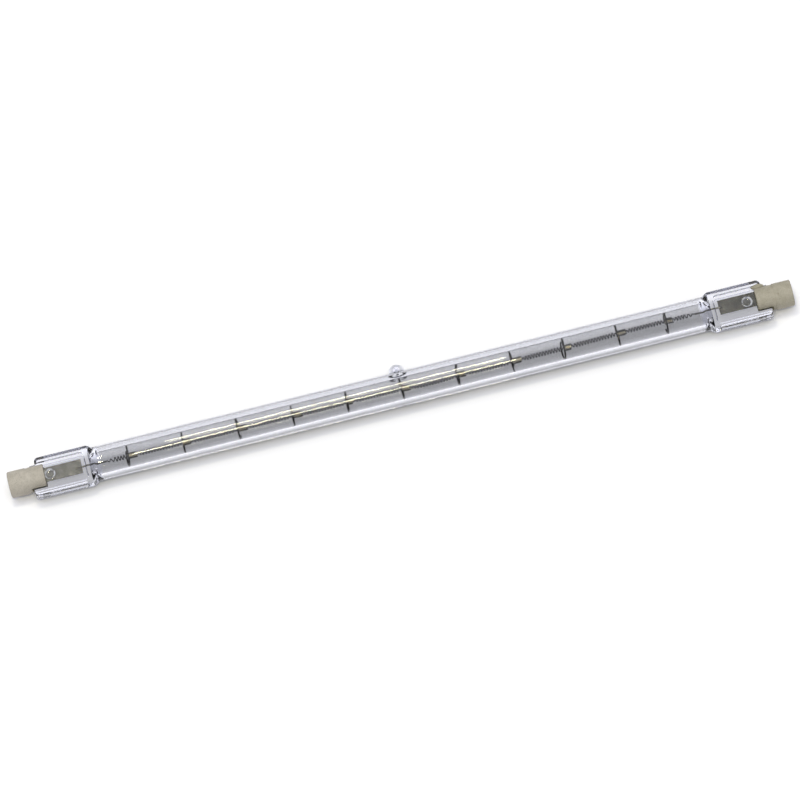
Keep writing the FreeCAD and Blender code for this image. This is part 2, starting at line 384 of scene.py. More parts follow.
def pole_faces(rings, columns):
    """Returns the faces of a closed shape: a first point, rings of points, and a last point."""
    top = 1 + (rings - 1) * columns
    last = top + columns
    faces = [(0, 1 + (column + 1) % columns, 1 + column) for column in range(columns)]
    faces += grid_faces(rings, columns, True, 1)
    faces += [(top + column, top + (column + 1) % columns, last) for column in range(columns)]
    return faces


def wire(path, radius, sides):
    """Returns the points and faces of a round wire along a path, closed at both ends."""
    count = len(path)
    tangents = []
    for index in range(count):
        ahead = path[min(index + 1, count - 1)]
        behind = path[max(index - 1, 0)]
        tangents.append((ahead - behind).normalized())
    side = tangents[0].orthogonal().normalized()
    points = []
    for place, tangent in zip(path, tangents):
        side = (side - tangent * side.dot(tangent)).normalized()
        other = tangent.cross(side)
        for angle in circle_angles(sides):
            points.append(place + side * (radius * math.cos(angle)) + other * (radius * math.sin(angle)))
    return points, grid_faces(count, sides, True) + end_faces(count, sides)


def unevenness(along, across, scales, side=1):
    """Returns a smooth noise at a place on a sheet, finer with larger scales along and across."""
    return noise.noise(Vector((along * scales[0], across * scales[1], side * scales[2])))


def joined(*parts):
    """Returns the points and faces of several (points, faces) parts as one."""
    points = []
    faces = []
    for part_points, part_faces in parts:
        offset = len(points)
        points.extend(part_points)
        faces.extend(tuple(index + offset for index in face) for face in part_faces)
    return points, faces


def mirrored(part):
    """Returns the left-hand copy of a right-hand (points, faces) part."""
    points, faces = part
    return [Vector((-point[0], point[1], point[2])) for point in points], [face[::-1] for face in faces]


def shifted(part, y):
    """Returns a copy of a (points, faces) part, moved sideways."""
    points, faces = part
    return [Vector((point[0], point[1] + y, point[2])) for point in points], faces


def lathe(profile, segments=96):
    """Returns the surface that a closed (depth, radius) profile makes round the lamp's axis."""
    turn = circle_angles(segments)
    points = [around(at_depth(depth), 0, 0, radius, angle) for depth, radius in profile for angle in turn]
    rows = len(profile)
    faces = []
    for row in range(rows):
        low = row * segments
        high = (row + 1) % rows * segments
        for step in range(segments):
            after = (step + 1) % segments
            faces.append((low + step, high + step, high + after, low + after))
    return points, faces


def fillet(centre_depth, centre_radius, size, start, end, steps=5):
    """Returns (depth, radius) points on an arc, with angles in degrees from the outward axis."""
    arc = []
    for step in range(steps + 1):
        angle = math.radians(start + (end - start) * step / steps)
        arc.append((centre_depth - size * math.cos(angle), centre_radius + size * math.sin(angle)))
    return arc


# Materials

WHITE = (1, 1, 1)
quartz_tint = (0.92, 0.924, 0.955)
quartz_ior = 1.458
# The pale colour of the painted highlight on a ring round each press mark
mark_highlight_colour = (0.7, 0.72, 0.77)
support_scale_colour = (0.035, 0.033, 0.03)
# The colour of the painted highlight on top of the supports' turns round the coil
support_highlight_colour = (1.0, 0.93, 0.72)
support_roughness = 0.16
right_foil_tint = (0.5, 0.5, 0.5)
right_cap_tint = (0.83, 0.83, 0.76)

# Where a support gets its painted highlight: out to a share of its ring's radius, on top, and to the front
highlight_reach = ((0.4, 1.0), (0.48, 0.0))
highlight_above = (0.45, 0.65)
highlight_ahead = (0.25, 0.5)

# Where the metals' noise turns from their dark to their bright grey
metal_detail = 3.0
metal_stops = (0.35, 0.65)

# The clouds and specks of the ceramic, and the relief that the specks give it
cloud_scale = 420.0
cloud_detail = 6.0
cloud_roughness = 0.65
cloud_stops = (0.34, 0.68)
speck_scale = 3200.0
speck_span = (0.28, 0.5)
speck_darkest = 0.78
speck_relief = 0.08
relief_strength = 0.25
ceramic_roughness = 0.72
ceramic_ior = 1.5

# The grey tint on the bore's wall: a thin deposit in front, and darker behind as painted shade, over a run
# across the axis
deposit_front = (0.9, 0.9, 0.9)
bore_rear_deposit_and_shade = (0.68, 0.68, 0.68)
bore_shade_run = 1.5

# How the painted highlight round the press marks is broken into patches
mark_patch_scale = 700.0
mark_patch_span = (0.4, 0.6)
mark_patch_least = 0.35

# The light that a face of the glass passes on to what lies in and under it, straight on and aslant
glass_passes = ((0.12, 0.44), (0.3, 0.27))
bore_passes = (0.95, 0.95, 0.95)

# The share of painted highlight from the middle of a press mark outwards, as shares of its reach
mark_highlight_reach = 2.0
mark_highlight_stops = ((0.0, 0.12), (0.56, 0.04), (0.7, 0.75), (0.84, 0.75), (0.95, 0.0), (1.0, 0.0))


class NodeTree:
    """The nodes of a material or of the world, with short ways to add and join them."""

    def __init__(self, owner, output_kind="OutputMaterial"):
        self.owner = owner
        owner.use_nodes = True
        self.nodes = owner.node_tree.nodes
        self.links = owner.node_tree.links
        self.nodes.clear()
        self.output = self.add(output_kind)

    def feed(self, socket, value):
        """Gives an input its value: a number, a colour, a vector or another node's output."""
        if isinstance(value, bpy.types.NodeSocket):
            self.links.new(value, socket)
        elif socket.type == "RGBA":
            socket.default_value = (*value, 1)
        else:
            socket.default_value = value

    def add(self, kind, inputs=None, **settings):
        """Adds a node with its settings, and feeds its inputs by name or number."""
        node = self.nodes.new("ShaderNode" + kind)
        for name, value in settings.items():
            setattr(node, name, value)
        for name, value in (inputs or {}).items():
            self.feed(node.inputs[name], value)
        return node

    def finish(self, shader):
        """Joins a shader node to the output, and returns the finished material or world."""
        self.links.new(shader.outputs[0], self.output.inputs["Surface"])
        return self.owner

    def place(self):
        """Returns the place on the piece, in the part's frame."""
        return self.add("TexCoord").outputs["Object"]

    def split(self, vector):
        """Returns the X, Y and Z outputs of a vector."""
        return self.add("SeparateXYZ", {"Vector": vector}).outputs

    def off_axis(self, place):
        """Returns how far a place is from the lamp's axis."""
        across = self.add("VectorMath", {0: place, 1: (0.0, 1.0, 1.0)}, operation="MULTIPLY")
        length = self.add("VectorMath", {0: across.outputs["Vector"]}, operation="LENGTH")
        return length.outputs["Value"]

    def maths(self, operation, *values):
        """Returns the result of one operation on numbers or outputs."""
        return self.add("Math", dict(enumerate(values)), operation=operation).outputs["Value"]

    def span(self, value, low, high, to_low=0.0, to_high=1.0):
        """Returns a value carried from one range to another, and held at its ends."""
        limits = {"From Min": low, "From Max": high, "To Min": to_low, "To Max": to_high}
        return self.add("MapRange", {"Value": value, **limits}).outputs["Result"]

    def grain(self, place, scale, detail=2.0, roughness=0.5):
        """Returns a cloudy noise, from 0 to 1."""
        sizes = {"Scale": scale, "Detail": detail, "Roughness": roughness}
        return self.add("TexNoise", {"Vector": place, **sizes}).outputs["Fac"]

    def ramp(self, value, *stops):
        """Returns the colour at a value between stops, each a position with a colour or a grey."""
        node = self.add("ValToRGB", {"Fac": value})
        elements = node.color_ramp.elements
        elements[0].position = stops[0][0]
        elements[1].position = stops[-1][0]
        for position, tone in stops[1:-1]:
            elements.new(position)
        for element, (position, tone) in zip(elements, stops):
            element.color = (*tone, 1) if isinstance(tone, tuple) else (tone, tone, tone, 1)
        return node.outputs["Color"]

    def mix(self, share, first, second, blend="MIX"):
        """Returns a mix of two colours."""
        inputs = {"Factor": share, "A": first, "B": second}
        return self.add("Mix", inputs, data_type="RGBA", blend_type=blend).outputs["Result"]

    def blend(self, share, first, second):
        """Adds a node that mixes two shader nodes."""
        return self.add("MixShader", {0: share, 1: first.outputs[0], 2: second.outputs[0]})


def new_material(name):
    """Adds a material and returns its empty tree of nodes."""
    return NodeTree(bpy.data.materials.new(name))


def tint_along(tree, place, colour, tint):
    """Returns a colour that has no tint at the left cap and takes one on towards the right cap."""
    share = tree.span(tree.split(place)["X"], -half_length * MM, half_length * MM)
    return tree.mix(1.0, colour, tree.mix(share, WHITE, tint), "MULTIPLY")


def make_metal(name, dark, bright, roughness, scale, right_tint=WHITE):
    """Returns a metal whose colour varies a little between two greys, and towards the right end."""
    tree = new_material(name)
    place = tree.place()
    tones = tree.ramp(tree.grain(place, scale, metal_detail), *zip(metal_stops, (dark, bright)))
    colour = tint_along(tree, place, tones, right_tint)
    inputs = {"Metallic": 1.0, "Roughness": roughness, "Base Color": colour}
    return tree.finish(tree.add("BsdfPrincipled", inputs))


def make_support_metal():
    """Returns the supports' metal: a painted highlight on top of the coil, dark with scale elsewhere."""
    tree = new_material("support_metal")
    place = tree.place()
    parts = tree.split(place)
    reach = tree.maths("DIVIDE", tree.off_axis(place), support_ring_radius * MM)
    # Paints a highlight where a support's turns lie on top of the coil, towards the front
    near = tree.ramp(reach, *highlight_reach)
    above = tree.span(parts["Z"], *[z * MM for z in highlight_above])
    ahead = tree.span(parts["Y"], *[y * MM for y in highlight_ahead], 1.0, 0.0)
    painted_highlight = tree.maths("MULTIPLY", near, tree.maths("MULTIPLY", above, ahead))
    colour = tree.mix(painted_highlight, support_scale_colour, support_highlight_colour)
    inputs = {"Metallic": 1.0, "Roughness": support_roughness, "Base Color": colour}
    return tree.finish(tree.add("BsdfPrincipled", inputs))


def make_ceramic(name, dark, bright):
    """Returns a matt, slightly speckled and uneven ceramic."""
    tree = new_material(name)
    place = tree.place()
    clouds = tree.grain(place, cloud_scale, cloud_detail, cloud_roughness)
    tones = tree.ramp(clouds, *zip(cloud_stops, (dark, bright)))
    specks = tree.grain(place, speck_scale)
    shade = tree.span(specks, *speck_span, speck_darkest, 1.0)
    speckled = tree.mix(1.0, tones, shade, "MULTIPLY")
    colour = tint_along(tree, place, speckled, right_cap_tint)
    relief = {"Strength": relief_strength, "Distance": speck_relief * MM, "Height": specks}
    normal = tree.add("Bump", relief).outputs["Normal"]
    finish = {"Roughness": ceramic_roughness, "IOR": ceramic_ior}
    inputs = {**finish, "Base Color": colour, "Normal": normal}
    return tree.finish(tree.add("BsdfPrincipled", inputs))


def painted_mark_ring(tree, place, x):
    """Returns the share of painted highlight at a place, on a ring round the press mark at x."""
    centre = (x * MM, 0.0, web_half_thickness * MM)
    distance = tree.add("VectorMath", {0: place, 1: centre}, operation="DISTANCE")
    return tree.ramp(tree.maths("DIVIDE", distance.outputs["Value"], mark_highlight_reach * MM), *mark_highlight_stops)


def bore_mask(tree, place):
    """Returns 1 on the wall of the bore, and 0 on the rest of the quartz."""
    near = tree.maths("LESS_THAN", tree.off_axis(place), (bore_radius + tube_radius) / 2 * MM)
    along = tree.maths("ABSOLUTE", tree.split(place)["X"])
    inner = tree.maths("LESS_THAN", along, at_depth(tube_start_depth) * MM)
    return tree.maths("MULTIPLY", near, inner)


def make_quartz():
    """Returns clear quartz, which lets part of the light through to what lies in and under it, with painted
    shade at the back of the bore and a painted highlight round each press mark.
    """
    tree = new_material("quartz")
    place = tree.place()
    bore = bore_mask(tree, place)
    # Darkens the bore towards its back: painted shade over the thin deposit
    rear = tree.span(tree.split(place)["Y"], -bore_shade_run * MM, bore_shade_run * MM)
    tint = tree.mix(bore, quartz_tint, tree.mix(rear, deposit_front, bore_rear_deposit_and_shade))
    glass = tree.add("BsdfGlass", {"Roughness": 0.0, "IOR": quartz_ior, "Color": tint})
    # A pale, patchy ring round each press mark paints the highlights of its dimple
    ring_highlight = tree.add("BsdfDiffuse", {"Color": mark_highlight_colour})
    left_ring = painted_mark_ring(tree, place, -at_depth(left_dimple_depth))
    right_ring = painted_mark_ring(tree, place, at_depth(right_dimple_depth))
    patchiness = tree.span(tree.grain(place, mark_patch_scale), *mark_patch_span, mark_patch_least, 1.0)
    highlight_share = tree.maths("MULTIPLY", tree.maths("MAXIMUM", left_ring, right_ring), patchiness)
    facing = tree.add("LayerWeight", {"Blend": 0.5}).outputs["Facing"]
    passed = tree.mix(bore, tree.ramp(facing, *glass_passes), bore_passes)
    clear = tree.add("BsdfTransparent", {"Color": passed})
    rays = tree.add("LightPath").outputs
    lighting = tree.maths("MAXIMUM", rays["Is Shadow Ray"], rays["Is Diffuse Ray"])
    return tree.finish(tree.blend(lighting, tree.blend(highlight_share, glass, ring_highlight), clear))


quartz = make_quartz()
tungsten = make_metal("tungsten", (0.008, 0.008, 0.009), (0.03, 0.029, 0.028), 0.3, 900.0)
support_metal = make_support_metal()
lead_metal = make_metal("lead_metal", (0.08, 0.08, 0.08), (0.18, 0.175, 0.165), 0.32, 600.0)
foil_metal = make_metal("foil_metal", (0.155, 0.155, 0.153), (0.235, 0.235, 0.23), 0.5, 500.0,
                        right_foil_tint)
contact_metal = make_metal("contact_metal", (0.42, 0.41, 0.40), (0.60, 0.59, 0.57), 0.35, 800.0)
ceramic = make_ceramic("ceramic", (0.42, 0.385, 0.312), (0.52, 0.48, 0.405))
cement = make_ceramic("cement", (0.35, 0.325, 0.25), (0.46, 0.43, 0.345))


# Quartz envelope


def rim_outline(edge, half_height, groove, floor, lip):
    """Returns the (y, z) outline of a thick rim: up its side, over its top, down its groove's wall."""
    size = min(rim_corner, max(edge - groove - lip, least_corner), half_height)
    outline = [(edge, (half_height - size) * share) for share in rim_side_shares]
    outline += quarter_arc(edge - size, half_height - size, size, corner_steps)
    for step in range(1, rim_top_steps + 1):
        outline.append((edge - size + (groove + lip - edge + size) * step / rim_top_steps, half_height))
    drop = half_height - floor
    for share in groove_wall_shares:
        outline.append((groove + lip * (1 - share), half_height - drop * ease(share)))
    return outline


def thin_outline(edge, floor):
    """Returns the (y, z) outline of the web's bare edge, with as many points as a rim's."""
    size = thin_edge_corner
    outline = []
    for step in range(outline_points):
        share = step / (outline_points - 1)
        if share < thin_edge_side:
            outline.append((edge, (floor - size) * share / thin_edge_side))
        else:
            angle = math.radians(90 * (share - thin_edge_side) / (1 - thin_edge_side))
            outline.append((edge - size + size * math.cos(angle), floor - size + size * math.sin(angle)))
    return outline


def half_section(front, back, front_rim, back_rim, half_height, groove, floor, lip):
    """Returns the upper or lower outline, front to back, of a slice across the flattened end.

    front and back are the slice's outer edges, the rims stand where front_rim and back_rim
    are true, groove is the groove's half width, floor is its height, and lip is the run of its wall.
    """
    rest = (half_height, groove, floor, lip)
    front_part = rim_outline(front, *rest) if front_rim else thin_outline(front, floor)
    back_part = rim_outline(back, *rest) if back_rim else thin_outline(back, floor)
    web_steps = ring_points // 2 - 2 * (outline_points - 1)
    start = -front_part[-1][0]
    end = back_part[-1][0]
    web = [(start + (end - start) * step / web_steps, floor) for step in range(1, web_steps)]
    return [(-y, z) for y, z in front_part] + web + back_part[::-1]


def full_section(x, *sizes):
    """Returns a slice's whole ring of points, with a soft groove above and a steep one below."""
    upper = half_section(*sizes, upper_lip)
    lower = half_section(*sizes, lower_lip)
    ring = [Vector((x, y, z)) for y, z in upper]
    ring += [Vector((x, y, -z)) for y, z in reversed(lower[1:-1])]
    return ring


def oval_section(x, half_width, half_height, count):
    """Returns an oval slice as a ring of points, from its front edge over its top."""
    return [Vector((x, -half_width * math.cos(angle), half_height * math.sin(angle)))
            for angle in circle_angles(count)]


def rounding(depth, end_depth, size):
    """Returns how far an edge draws in near an end, along a quarter circle of that size."""
    near = end_depth + size - depth
    if near <= 0:
        return 0.0
    near = min(near, size)
    return size - math.sqrt(size * size - near * near)


def pinch_section(depth):
    """Returns the slice across the right-hand flattened end at a depth, as a ring of points."""
    x = at_depth(depth)
    if depth < front_rim_depth:
        edge = tongue_half_width - rounding(depth, tongue_outer_depth, tongue_tip_corner)
        thin = web_half_thickness - rounding(depth, tongue_outer_depth, tongue_face_corner)
        return full_section(x, edge, edge, False, False, thin, edge, thin)
    front = pinch_half_width - rounding(depth, front_rim_depth, rim_tip_corner)
    back_rim = depth >= back_rim_depth
    back = rim_inside
    if back_rim:
        back = pinch_half_width - rounding(depth, back_rim_depth, rim_tip_corner)
    groove_run = groove_inner_depth - depth
    groove = rim_inside
    if groove_run < groove_corner:
        reach = groove_corner - max(groove_run, 0.0)
        groove = rim_inside - groove_corner + math.sqrt(max(groove_corner ** 2 - reach ** 2, 0.0))
    rise = ease(-groove_run / groove_end_run)
    floor = web_half_thickness + (rim_half_thickness - web_half_thickness) * rise
    height = rim_half_thickness - rim_face_share * rounding(depth, front_rim_depth, rim_face_corner)
    return full_section(x, front, back, True, back_rim, height, groove, floor)


def shoulder_section(depth):
    """Returns the slice across the right-hand shoulder at a depth, as a ring of points.

    The slices are rounded boxes that turn into circles: their sides draw in first, while
    their height rises and their corners open up.
    """
    share = (depth - pinch_inner_depth) / (tube_start_depth - pinch_inner_depth)
    widening = ease(shoulder_width_pace * share)
    rising = ease(shoulder_height_pace * share)
    half_width = pinch_half_width + (tube_radius - pinch_half_width) * widening
    half_height = rim_half_thickness + (tube_radius - rim_half_thickness) * rising
    power = 2 + shoulder_boxiness * (1 - ease(shoulder_corner_pace * share)) ** 2
    turned = ease(shoulder_turn_pace * share)
    settled = ease(shoulder_settle_pace * share)
    x = at_depth(depth)
    ring = []
    circle = oval_section(0, tube_radius, tube_radius, ring_points)
    for flat, round_place in zip(pinch_section(pinch_inner_depth), circle):
        flat_angle = math.atan2(flat.z, flat.y)
        angle = flat_angle + (math.atan2(round_place.z, round_place.y) - flat_angle) * turned
        across = abs(math.cos(angle)) / half_width
        upwards = abs(math.sin(angle)) / half_height
        reach = (across ** power + upwards ** power) ** (-1 / power)
        ring.append(Vector((x, flat.y, flat.z)).lerp(around(x, 0, 0, reach, angle), settled))
    return ring


def press_mark(ring, distance):
    """Sinks the round press mark into the upper face of a slice's web, some way from its middle."""
    for point in ring[1:ring_points // 2]:
        if abs(point.y) > rim_inside - upper_lip:
            continue
        away = math.hypot(distance, point.y)
        if away < dimple_radius:
            point.z -= dimple_sink * (1 - (away / dimple_radius) ** 4)
        off_lip = (away - dimple_radius - mark_lip_gap) / mark_lip_width
        point.z += mark_lip_height * math.exp(-off_lip ** 2)


def end_depths():
    """Returns the depths of the slices across one end, from the tongue's tip to the tube."""
    depths = [tongue_outer_depth + step for step in tongue_tip_steps]
    depths += [tongue_slice_depth, front_rim_depth - hair]
    depths += [front_rim_depth + step for step in rim_tip_steps]
    depths += [front_slice_depth, back_rim_depth - hair]
    depths += [back_rim_depth + step for step in rim_tip_steps]
    while depths[-1] < mark_slices_end:
        depths.append(depths[-1] + mark_slice_step)
    corner_depth = groove_inner_depth - groove_corner
    while depths[-1] < corner_depth - pinch_slice_step:
        depths.append(depths[-1] + pinch_slice_step)
    for step in range(groove_corner_slices + 1):
        depths.append(corner_depth + groove_corner * step / groove_corner_slices)
    for step in range(1, groove_end_slices + 1):
        depths.append(groove_inner_depth + groove_end_run * step / groove_end_slices)
    depths += last_pinch_slices
    run = tube_start_depth - pinch_inner_depth
    depths += [pinch_inner_depth + run * step / shoulder_slices for step in range(shoulder_slices)]
    return depths


def end_ring(depth, dimple_depth):
    """Returns the slice across the right-hand end at a depth, from the tongue to the tube."""
    if depth >= pinch_inner_depth:
        return shoulder_section(depth)
    ring = pinch_section(depth)
    press_mark(ring, depth - dimple_depth)
    return ring


def drawn(point):
    """Returns a point of the drawn tube, a hair inside its true circle here and there."""
    angle = math.atan2(point.z, point.y)
    across = drawn_round * math.cos(angle) + drawn_seed
    place = Vector((point.x / drawn_length, across, drawn_round * math.sin(angle)))
    shrink = drawn_amount * (0.5 + 0.5 * noise.noise(place))
    radius = math.hypot(point.y, point.z)
    factor = (radius - max(shrink, 0.0)) / radius
    return Vector((point.x, point.y * factor, point.z * factor))


def tube_stations(half_patch, patch_step):
    """Returns the x of each slice of the tube, closer together in the patch at its middle."""
    start = at_depth(tube_start_depth)
    stations = spread(-start, -half_patch, tube_slice_step)
    stations += spread(-half_patch, half_patch, patch_step)[1:]
    stations += spread(half_patch, start, tube_slice_step)[1:]
    return stations


def band_faces(outer, inner):
    """Returns the faces between two rings of points, each a list of the points' numbers."""
    count = len(outer)
    return [(outer[(i + 1) % count], outer[i], inner[i], inner[(i + 1) % count]) for i in range(count)]


def patch_border(first, last, low, high):
    """Returns the (row, column) places round a patch of a grid of slices."""
    border = [(first, column) for column in range(low, high)]
    border += [(row, high) for row in range(first, last)]
    border += [(last, column) for column in range(high, low, -1)]
    border += [(row, low) for row in range(last, first, -1)]
    return border


def side_feature(rings, radius, middle, half_points, profile, top):
    """Returns a ringed tube with a patch on its +Y side, where a round feature stands.

    rings are the slices, middle is the range of slices that the patch takes and half_points is its
    half width in points. profile lists rings of the feature as (radius, lift, height, share), where
    the share is how far the ring keeps to the tube's own surface, lifted, instead of to its height.
    """
    points = [point for ring in rings for point in ring]
    points_round = len(rings[0])
    first, last = middle
    low = points_round // 2 - half_points
    high = points_round // 2 + half_points
    faces = []
    for row in range(len(rings) - 1):
        for column in range(points_round):
            if first <= row < last and low <= column < high:
                continue
            after = (column + 1) % points_round
            here = row * points_round
            beyond = here + points_round
            faces.append((here + column, beyond + column, beyond + after, here + after))
    loop = [row * points_round + column for row, column in patch_border(first, last, low, high)]
    starts = []
    for index in loop:
        point = points[index]
        across = math.atan2(-point.z, point.y) * radius
        starts.append((point.x, across, math.atan2(across, point.x)))
    feature = []
    foot = profile[0][0]
    for share in foot_blends:
        ring = []
        for along, across, angle in starts:
            x = along + (foot * math.cos(angle) - along) * share
            arc = across + (foot * math.sin(angle) - across) * share
            ring.append(Vector((x, radius * math.cos(arc / radius), -radius * math.sin(arc / radius))))
        feature.append(ring)
    for size, lift, height, own in profile[1:]:
        ring = []
        for along, across, angle in starts:
            z = -size * math.sin(angle)
            surface = math.sqrt(max(radius ** 2 - z ** 2, 0.0))
            ring.append(Vector((size * math.cos(angle), own * (surface + lift) + (1 - own) * height, z)))
        feature.append(ring)
    outer = loop
    for ring in feature:
        inner = list(range(len(points), len(points) + len(ring)))
        points += ring
        faces += band_faces(outer, inner)
        outer = inner
    faces += [(outer[(i + 1) % len(outer)], outer[i], len(points)) for i in range(len(outer))]
    points.append(Vector((0, top, 0)))
    return points, faces


def make_outer_surface():
    """Returns the outside of the quartz: both ends, the tube and the exhaust tip."""
    depths = end_depths()
    right = [end_ring(depth, right_dimple_depth) for depth in depths]
    left = [end_ring(depth, left_dimple_depth) for depth in depths]
    left = [[Vector((-point.x, point.y, point.z)) for point in ring] for ring in left]
    stations = tube_stations(tip_patch_half_length, tip_patch_step)
    tube = []
    for x in stations:
        tube.append([drawn(point) for point in oval_section(x, tube_radius, tube_radius, ring_points)])
    rings = left + tube + right[::-1]
    patch = [len(left) + stations.index(x) for x in (-tip_patch_half_length, tip_patch_half_length)]
    profile = [(size, lift, 0.0, 1.0) for size, lift in tip_foot]
    dome = quarter_arc(0, tip_reach - tip_radius, tip_radius, tip_steps)
    for step, (size, height) in enumerate(dome[1:-1], 1):
        own = max(0.0, 1 - step / tip_foot_steps)
        profile.append((size, tip_foot_lift + tip_lift_step * step, height, own))
    points, faces = side_feature(rings, tube_radius, patch, tip_patch_half_points, profile, tip_reach)
    return points, faces + [face[::-1] for face in end_faces(len(rings), ring_points)]


def make_inner_surface():
    """Returns the wall of the bore, with its flat slits and the hole in the exhaust tip."""
    start = at_depth(tube_start_depth)
    end = at_depth(slit_depth)
    closing = []
    for step in range(1, closing_steps + 1):
        share = step / closing_steps
        blend = (1 - math.cos(math.pi * share)) / 2
        half_width = bore_radius + (slit_half_width - bore_radius) * blend
        half_height = bore_radius + (slit_half_height - bore_radius) * blend
        closing.append((start + (end - start) * share, half_width, half_height))
    for reach, width_share, height_share in slit_tip_shapes:
        closing.append((end + reach, slit_half_width * width_share, slit_half_height * height_share))
    stations = tube_stations(hole_patch_half_length, hole_patch_step)
    slices = [(-x, y, z) for x, y, z in reversed(closing)]
    slices += [(x, bore_radius, bore_radius) for x in stations]
    slices += closing
    rings = [oval_section(*sizes, bore_points) for sizes in slices]
    patch = [len(closing) + stations.index(x) for x in (-hole_patch_half_length, hole_patch_half_length)]
    profile = [(size, lift, 0.0, 1.0) for size, lift in hole_mouth]
    profile += [(exhaust_hole_radius, 0.0, height, 0.0) for height in hole_heights]
    dome = quarter_arc(0, exhaust_hole_reach - exhaust_hole_radius, exhaust_hole_radius, hole_end_steps)
    profile += [(size, 0.0, height, 0.0) for size, height in dome[:-1]]
    points, faces = side_feature(rings, bore_radius, patch, hole_patch_half_points, profile,
                                 exhaust_hole_reach)
    return points, [face[::-1] for face in faces] + end_faces(len(rings), bore_points)


quartz_part = joined(make_outer_surface(), make_inner_surface())
make_piece("quartz_glass", quartz_part, quartz, "quartz_envelope", glass_sharp_angle)


# Filament


def coil_line(x):
    """Returns the y and z of the coil's centre line, which bows a little between its supports."""
    y = right_lead_y * ease((x - coil_rise_start) / coil_rise_run)
    z = 0.0
    for first, second, bow in zip(support_places, support_places[1:], coil_bows):
        if first < x < second:
            share = (x - first) / (second - first)
            hang = 4 * share * (1 - share)
            y += bow * hang
            z -= coil_sag * hang
    return y, z


def squeeze(x):
    """Returns how far the coil is drawn in at a place, under the turns of the supports."""
    drawn_in = 0.0
    for place, turns in zip(support_places, support_turns):
        before = place - squeeze_margin - x
        beyond = x - place - turns * support_pitch - squeeze_margin
        outside = max(before, beyond, 0.0)
        drawn_in = max(drawn_in, grip_squeeze * (1 - ease(outside / squeeze_run)))
    return drawn_in


def tail(start, end):
    """Returns the points of a short tail of wire, from a lead to the first open turn."""
    points = []
    for step in range(tail_steps):
        share = step / tail_steps
        point = start.lerp(end, share)
        point.z = start.z + (end.z - start.z) * ease(share)
        points.append(point)
    return points


def make_filament_path():
    """Returns the line of the filament's wire: a tail, two open turns, the coil, and the same again."""
    start = at_depth(coil_start_depth)
    turns = round(2 * start / coil_turn_pitch)
    pitch = 2 * start / turns
    radius = coil_radius - coil_wire_radius
    path = []
    for index in range((turns + 2 * open_turns) * turn_steps + 1):
        turn = index / turn_steps - open_turns
        beyond = max(-turn, turn - turns)
        if beyond > 0:
            x = math.copysign(start + open_pitch * beyond, turn)
            size = radius * (1 - open_shrink * beyond)
        else:
            x = pitch * turn - start
            size = radius - squeeze(x)
        y, z = coil_line(x)
        angle = 2 * math.pi * turn
        path.append(Vector((x, y - size * math.sin(angle), z + size * math.cos(angle))))
    weld = at_depth(inner_lead_depth) + tail_overlap
    left_tail = tail(Vector((-weld, 0.0, lead_radius)), path[0])
    right_tail = tail(Vector((weld, right_lead_y, lead_radius)), path[-1])
    return left_tail + path + right_tail[::-1]


coil_part = wire(make_filament_path(), coil_wire_radius, 8)
make_piece("filament_coil", coil_part, tungsten, "filament")


# Filament supports


def make_support(place, twist, tilt, turns):
    """Returns one support as a single bent wire: its turns on the coil, its spoke and its ring."""
    path = []
    end_angle = math.radians(twist)
    for index in range(int(turns * turn_steps) + 1):
        left = turns - index / turn_steps
        x = place + support_pitch * left
        path.append(around(x, *coil_line(x), grip_radius, end_angle - 2 * math.pi * left))
    y, z = coil_line(place)
    for index in range(1, spoke_steps + 1):
        share = index / spoke_steps
        radius = grip_radius + (support_ring_radius - grip_radius) * ease(share)
        own = 1 - ease(share)
        path.append(around(place, y * own, z * own, radius, end_angle + spoke_swing * share))
    start_angle = end_angle + spoke_swing
    sweep = math.radians(support_ring_angle)
    slope = math.tan(math.radians(tilt)) * support_ring_radius
    for index in range(1, support_ring_steps + 1):
        angle = start_angle + sweep * index / support_ring_steps
        x = place + slope * (math.sin(angle) - math.sin(start_angle))
        path.append(around(x, 0, 0, support_ring_radius, angle))
    return wire(path, support_wire_radius, 10)


for index, place in enumerate(support_places):
    support_part = make_support(place, support_twist * index, support_tilts[index], support_turns[index])
    number = f"{index + 1:02d}"
    make_piece(f"support_wire_{number}", support_part, support_metal, f"support_{number}")


# Foils and leads


def on_foil(x):
    """Tells if a place of the right-hand half is over the foil."""
    return at_depth(foil_inner_depth) <= x <= at_depth(foil_outer_depth)


def make_foil():
    """Returns the right-hand foil, a thin sheet with a slight wave."""
    rows = spread(foil_outer_depth, foil_inner_depth, foil_step_along)
    columns = spread(-foil_half_width, foil_half_width, foil_step_across)
    points = []
    for level in (foil_top, foil_top - foil_thickness):
        for depth in rows:
            for y in columns:
                wave = foil_wave * unevenness(depth, y, foil_wave_scales)
                points.append(Vector((at_depth(depth), y, level + wave)))
    return points, sheet_faces(len(rows), len(columns))


def make_lead(outer_depth, inner_depth):
    """Returns a right-hand lead wire, pressed flat underneath where it is welded on the foil."""
    path = [Vector((at_depth(depth), 0, 0)) for depth in spread(outer_depth, inner_depth, lead_step)]
    points, faces = wire(path, lead_radius, 16)
    for point in points:
        if on_foil(point.x):
            point.z = max(point.z, foil_top + hair)
    return points, faces


foil = make_foil()
outer_lead = make_lead(contact_back_depth, foil_outer_depth + right_weld_overlap)
left_lead = mirrored(make_lead(foil_inner_depth - weld_overlap, inner_lead_depth))
right_lead = shifted(make_lead(foil_inner_depth - right_weld_overlap, inner_lead_depth), right_lead_y)
left_foil = shifted(mirrored(foil), left_foil_y)
right_foil = shifted(foil, right_lead_y)
make_pair("sealing_foil", left_foil, right_foil, foil_metal, "foil", metal_sharp_angle)
make_pair("inner_lead_wire", left_lead, right_lead, lead_metal, "inner_lead", metal_sharp_angle)
make_pair("outer_lead_wire", mirrored(outer_lead), outer_lead, lead_metal, "outer_lead",
          metal_sharp_angle)


# Ceramic caps, contacts and cement


